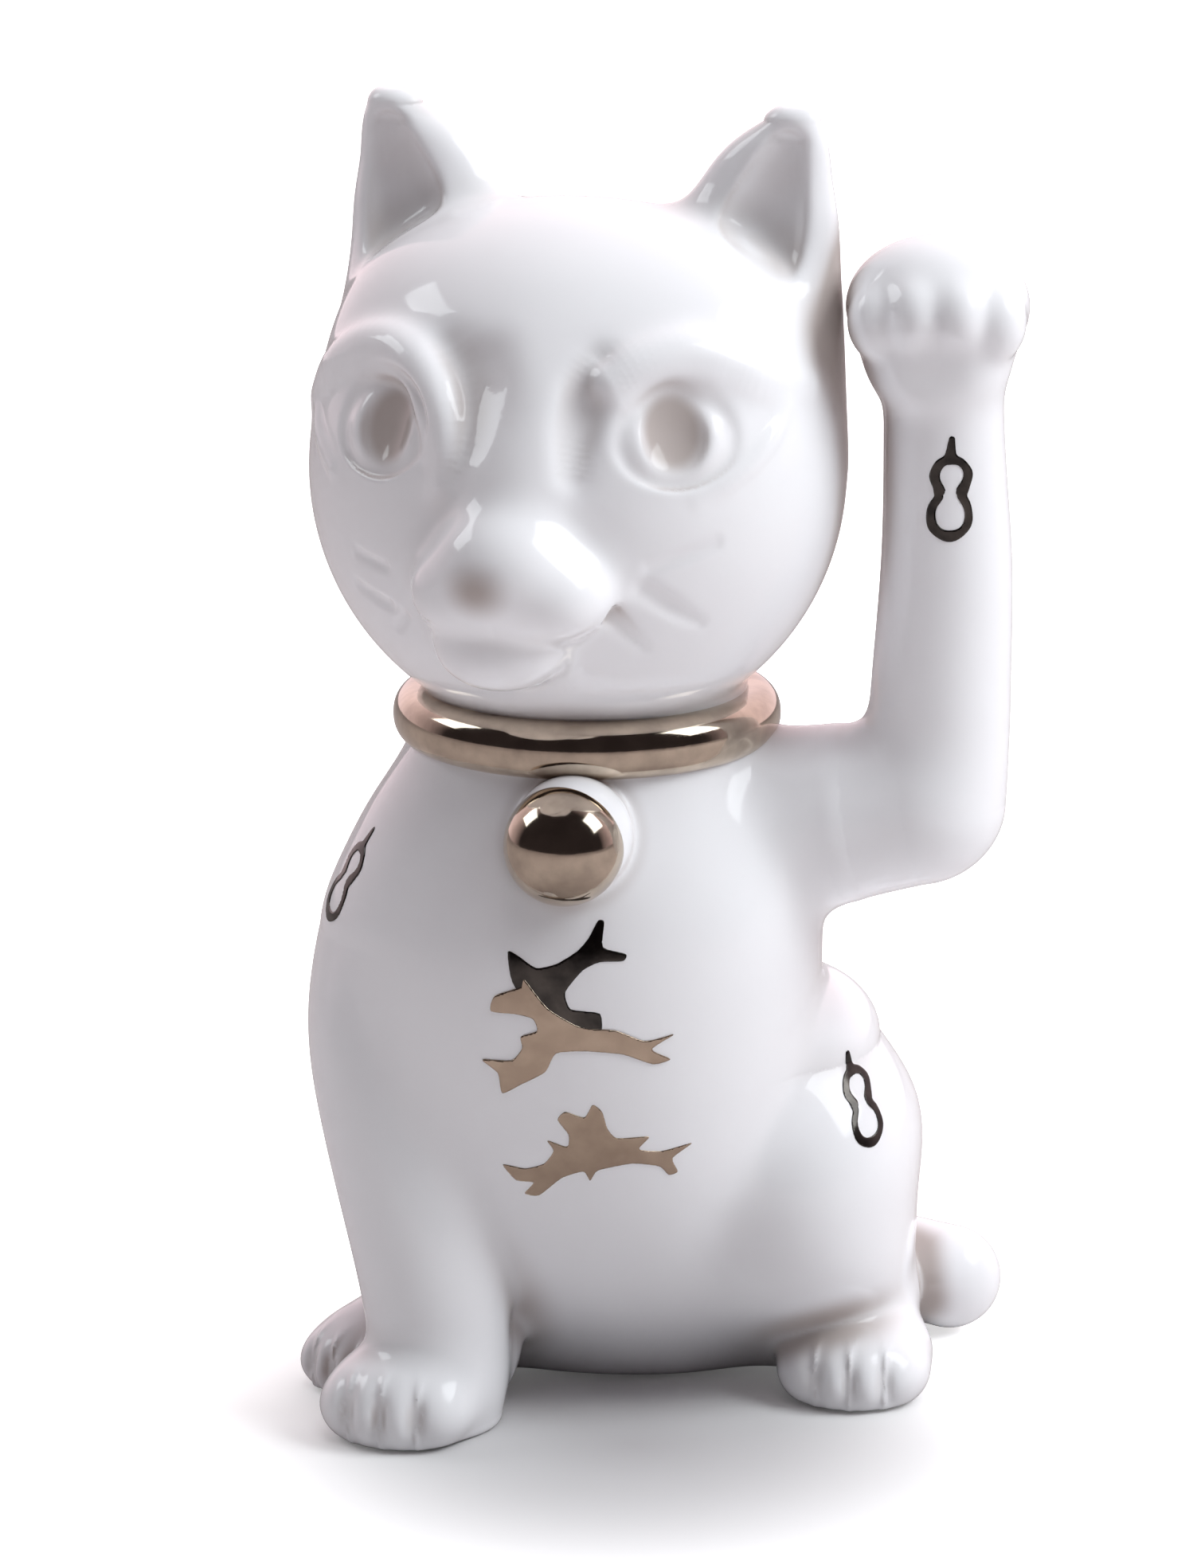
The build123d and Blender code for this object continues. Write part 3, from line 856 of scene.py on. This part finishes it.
# ---------------------------------------------------------------- painted lustre

PAINT_FINE = 0.24
PAINT_PROUD = 0.16
PAIR_PROUD = 0.26
PAINT_BEDDED = 0.12
PAINT_EDGE = 0.22
PAINT_REACH = np.array([4.5, 3.5, 7.0])


def circle(x, y, cx, cy, r):
    """A flat disc."""
    return np.sqrt((x - cx) ** 2 + (y - cy) ** 2) - r


def stroke(x, y, a, b, ra, rb):
    """A straight brush stroke from a to b, tapering between two half widths."""
    dx, dy = b[0] - a[0], b[1] - a[1]
    t = np.clip(((x - a[0]) * dx + (y - a[1]) * dy) / (dx * dx + dy * dy), 0, 1)
    return np.sqrt((x - a[0] - t * dx) ** 2 + (y - a[1] - t * dy) ** 2) - (ra + t * (rb - ra))


def gourd(x, y):
    """A bottle gourd drawn as one brush line with a short stalk, 16 mm tall."""
    form = blend(circle(x, y, 0.3, 2.3, 2.5), circle(x, y * 0.96, -0.1, -3.9, 3.0), 1.5)
    form = blend(form, stroke(x, y, (0.2, 2.0), (0.0, -3.0), 1.55, 1.75), 1.6)
    angle = np.arctan2(y + 0.6, x)
    line = np.abs(form) - (0.74 + 0.12 * np.sin(3 * angle + 0.6) + 0.05 * np.sin(11 * angle))
    return blend(line, stroke(x, y, (0.2, 5.0), (0.5, 8.0), 0.95, 0.5), 1.0)


def closed_shape(points, parts=4):
    """A field inside a smooth closed outline through the points."""
    pts = np.array(points, float)
    n = len(pts)
    line = []
    for i in range(n):
        a, b, c, d = pts[i - 1], pts[i], pts[(i + 1) % n], pts[(i + 2) % n]
        for t in np.arange(parts) / parts:
            line.append(b + 0.6 * (c - a) * t / 2 * (1 - t) ** 2 + (c - b) * t * t * (3 - 2 * t)
                        - 0.6 * (d - b) * (1 - t) / 2 * t * t)
    line = np.array(line)

    def field(x, y):
        best = np.full(x.shape, 1e9)
        inside = np.zeros(x.shape, bool)
        for (ax, ay), (bx, by) in zip(line, np.roll(line, -1, 0)):
            ex, ey, wx, wy = bx - ax, by - ay, x - ax, y - ay
            t = np.clip((wx * ex + wy * ey) / (ex * ex + ey * ey), 0, 1)
            best = np.minimum(best, (wx - t * ex) ** 2 + (wy - t * ey) ** 2)
            if ay != by:
                inside ^= ((ay > y) != (by > y)) & (x < ax + ex * (y - ay) / ey)
        d = np.sqrt(best)
        return np.where(inside, -d, d)

    return field


CARP_DARK = closed_shape([
    (-8.2, 3.6), (-6.6, 3.0), (-4.2, 1.5), (-1.4, 2.2), (1.4, 4.0), (3.0, 5.8), (4.3, 8.2),
    (5.2, 8.0), (5.0, 4.6), (8.2, 3.6), (7.8, 2.6), (4.6, 2.5), (2.2, 1.3), (-0.2, -1.8),
    (0.6, -4.2), (4.6, -4.8), (4.6, -8.0), (0.2, -7.4), (-4.6, -4.8), (-7.6, -0.6),
])
CARP_PAIR = closed_shape([
    (14.2, -1.0), (12.0, -1.5), (9.4, -1.8), (5.4, 0.0), (0.2, 0.6), (-4.6, 3.4), (-8.0, 7.6),
    (-8.6, 6.4), (-12.4, 4.8), (-13.0, 2.4), (-9.2, 2.2), (-6.8, 1.6), (-6.2, -0.2), (-8.6, -1.2),
    (-8.4, -3.0), (-10.0, -5.0), (-14.4, -5.2), (-12.0, -7.2), (-11.4, -10.4), (-8.6, -8.8),
    (-5.0, -6.6), (-3.4, -3.6), (1.0, -3.2), (6.4, -3.8), (10.8, -5.6), (13.4, -5.0), (10.6, -3.2),
])
CARP_LOWER = closed_shape([
    (-14.2, 3.4), (-10.8, 3.0), (-8.0, 4.0), (-6.6, 6.2), (-7.6, 8.0), (-4.6, 7.0), (-4.4, 9.0),
    (-6.0, 11.4), (-4.8, 12.8), (-2.0, 11.9), (-0.8, 14.0), (0.6, 12.8), (1.4, 10.0), (2.8, 8.4),
    (7.6, 8.4), (6.0, 6.4), (9.4, 5.8), (14.0, 6.6), (11.0, 4.4), (11.8, 2.0), (10.4, 1.6),
    (9.0, 3.2), (5.0, 4.0), (0.0, 3.0), (-1.2, 1.2), (-2.2, 2.8), (-5.4, 1.6), (-8.8, -1.6),
    (-11.0, -1.4), (-9.6, 0.6), (-12.2, 0.8),
])


def paint(
    node, name, figure, azimuth, lustre, lean=0, scale=1.0, offset=(0, 0), proud=PAINT_PROUD,
):
    """Lays a flat figure on the glaze at a CAD node, seen from an azimuth, as a thin raised film."""
    lowest, highest = box_mm(node)
    middle = (lowest + highest) / 2
    c, s = math.cos(math.radians(azimuth)), math.sin(math.radians(azimuth))
    cl, sl = math.cos(math.radians(lean)) / scale, math.sin(math.radians(lean)) / scale

    def film(p):
        x = (p[0] - middle[0]) * c + (p[1] - middle[1]) * s - offset[0]
        y = p[2] - middle[2] - offset[1]
        flat = figure(x * cl + y * sl, y * cl - x * sl) * scale
        return meet(np.abs(porcelain(p) + PAINT_BEDDED) - PAINT_BEDDED - proud, flat, PAINT_EDGE)

    v, q, n = skin(film, lowest - PAINT_REACH, highest + PAINT_REACH, PAINT_FINE)
    make_piece(name, v, q, n, lustre, node)


dark = lustre_material("dark_lustre", (0.055, 0.052, 0.05), (0.13, 0.12, 0.11), 0.12)
pale = lustre_material("pale_lustre", (0.55, 0.44, 0.34), (0.66, 0.54, 0.42), 0.16)
paint("gourd_forearm", "gourd_on_forearm", gourd, 8, dark, 2, 1.0, (0, 0.9))
paint("gourd_shoulder", "gourd_on_shoulder", gourd, -58, dark, -14, 0.98)
paint("gourd_thigh", "gourd_on_thigh", gourd, 22, dark, 12, 0.84, (-0.2, 0.9))
paint("carp_dark", "carp_upper", CARP_DARK, 8, dark, 0, 1.12, (-0.6, -1.6))
paint("carp_light", "carp_pair", CARP_PAIR, 8, pale, 0, 1.06, (-0.6, 0.4), PAIR_PROUD)
paint("carp_lower", "carp_low", CARP_LOWER, 8, pale, 0, 1.06, (0.0, -8.2))

# ---------------------------------------------------------------- floor, light and camera

FLOOR_SIZE = 3.0
SHADOW_AT = (0.012, -0.03, 0)
SHADOW_TINT, FLOOR_TINT = (0.5, 0.48, 0.49), (0.9, 0.9, 0.9)
SHADOW_REACH = 0.08
GLOW_FROM, GLOW_FULL = 0.02, 0.12
MIRRORED_TINT = (0.33, 0.29, 0.28, 1)
FLOOR_MIRRORED, FLOOR_BOUNCED = 0.14, 0.02


def floor_material():
    """A white studio floor that glows to the camera away from the cat, and throws little light back."""
    material, nodes, links, shader = new_material("floor_white")
    shader.inputs["Roughness"].default_value = 0.9
    shader.inputs["Specular IOR Level"].default_value = 0.1
    shader.inputs["Emission Color"].default_value = (1, 1, 1, 1)
    where = nodes.new("ShaderNodeTexCoord")
    shadow = nodes.new("ShaderNodeVectorMath")
    shadow.operation = "SUBTRACT"
    shadow.inputs[1].default_value = SHADOW_AT
    links.new(where.outputs["Object"], shadow.inputs[0])
    length = nodes.new("ShaderNodeVectorMath")
    length.operation = "LENGTH"
    links.new(shadow.outputs["Vector"], length.inputs[0])
    away = length.outputs["Value"]
    rays = nodes.new("ShaderNodeLightPath").outputs
    shade = ramp(nodes, links, away, SHADOW_TINT, FLOOR_TINT, 0.0, SHADOW_REACH)
    base = mixed(nodes, links, "RGBA", rays["Is Glossy Ray"], shade, MIRRORED_TINT)
    links.new(base, shader.inputs["Base Color"])
    fade = spread(nodes, links, away, 0.0, 1.0, GLOW_FROM, GLOW_FULL, smooth=True)
    unseen = mixed(nodes, links, "FLOAT", rays["Is Diffuse Ray"], FLOOR_MIRRORED, FLOOR_BOUNCED)
    seen = mixed(nodes, links, "FLOAT", rays["Is Camera Ray"], unseen, 1.0)
    links.new(maths(nodes, links, "MULTIPLY", fade, seen), shader.inputs["Emission Strength"])
    return material


floor_mesh = bpy.data.meshes.new("floor")
corners = [(-FLOOR_SIZE, -FLOOR_SIZE, 0), (FLOOR_SIZE, -FLOOR_SIZE, 0)]
corners += [(FLOOR_SIZE, FLOOR_SIZE, 0), (-FLOOR_SIZE, FLOOR_SIZE, 0)]
floor_mesh.from_pydata(corners, [], [(0, 1, 2, 3)])
floor_mesh.materials.append(floor_material())
floor = bpy.data.objects.new("floor", floor_mesh)
bpy.context.scene.collection.objects.link(floor)


def aim(thing, target):
    """Turns a light or a camera to face a point."""
    thing.rotation_euler = (Vector(target) - thing.location).to_track_quat("-Z", "Y").to_euler()


LIT_POINT = (0.01, 0, 0.11)
COOL, WARM = (0.94, 1.0, 1.02), (1.0, 0.86, 0.89)
LIGHTS = (
    ("key_right", (0.80, 0.0, 0.78), 0.5, 2.6, COOL, True),
    ("key_soft", (0.80, -0.1, 0.78), 0.5, 5.6, COOL, False),
    ("fill_left", (-0.80, 0.06, 0.74), 0.4, 1.5, COOL, True),
    ("overhead", (0.15, -0.1, 1.2), 0.8, 5.0, COOL, False),
    ("top_front", (0.3, -0.7, 1.2), 0.6, 1.0, WARM, False),
)


def softbox(name, location, size, power, tint, mirrored):
    """A square studio light aimed at the cat; mirrored says whether its glaze reflects the light."""
    light = bpy.data.lights.new(name, "AREA")
    light.shape = "RECTANGLE"
    light.size, light.size_y = size, size
    light.energy = power
    light.color = tint
    box = bpy.data.objects.new(name, light)
    box.location = location
    box.visible_glossy = mirrored
    bpy.context.scene.collection.objects.link(box)
    aim(box, LIT_POINT)


for light in LIGHTS:
    softbox(*light)

ROOM_TINT = (1.0, 0.8, 0.84, 1)


def studio_world():
    """The room: bright behind the cat, dark in front, with a faint ceiling, and white to the camera."""
    world = bpy.data.worlds.new("studio")
    world.use_nodes = True
    nodes, links = world.node_tree.nodes, world.node_tree.links
    place = nodes.new("ShaderNodeTexCoord")
    split = nodes.new("ShaderNodeSeparateXYZ")
    links.new(place.outputs["Generated"], split.inputs["Vector"])
    behind = spread(nodes, links, split.outputs["Y"], 0.03, 1.2, -0.1, 0.8)
    ceiling = spread(nodes, links, split.outputs["Z"], 0.0, 0.05, 0.8, 1.0)
    room = maths(nodes, links, "MAXIMUM", behind, ceiling)
    by_camera = nodes.new("ShaderNodeLightPath").outputs["Is Camera Ray"]
    background = nodes["Background"].inputs
    links.new(mixed(nodes, links, "FLOAT", by_camera, room, 1.0), background["Strength"])
    links.new(mixed(nodes, links, "RGBA", by_camera, ROOM_TINT, (1, 1, 1, 1)), background["Color"])
    return world


bpy.context.scene.world = studio_world()

AZIMUTH, ELEVATION, DISTANCE = math.radians(8.5), math.radians(14.3), 1.0
AIM_RIGHT, AIM_UP = 0.0015, 0.100
LENS = 189.4
SENSOR = 36
VIEW_END = 20
camera_data = bpy.data.cameras.new("camera")
camera_data.sensor_fit = "HORIZONTAL"
camera_data.sensor_width = SENSOR
camera_data.lens = LENS
camera_data.clip_end = VIEW_END
camera = bpy.data.objects.new("camera", camera_data)
rightward = Vector((math.cos(AZIMUTH), math.sin(AZIMUTH), 0))
toward = Vector((math.sin(AZIMUTH), -math.cos(AZIMUTH), 0))
upward = Vector((0, 0, math.sin(ELEVATION)))
target = rightward * AIM_RIGHT + Vector((0, 0, AIM_UP))
camera.location = target + (toward * math.cos(ELEVATION) + upward) * DISTANCE
bpy.context.scene.collection.objects.link(camera)
aim(camera, target)
bpy.context.scene.camera = camera
bpy.context.scene.view_settings.view_transform = "Standard"
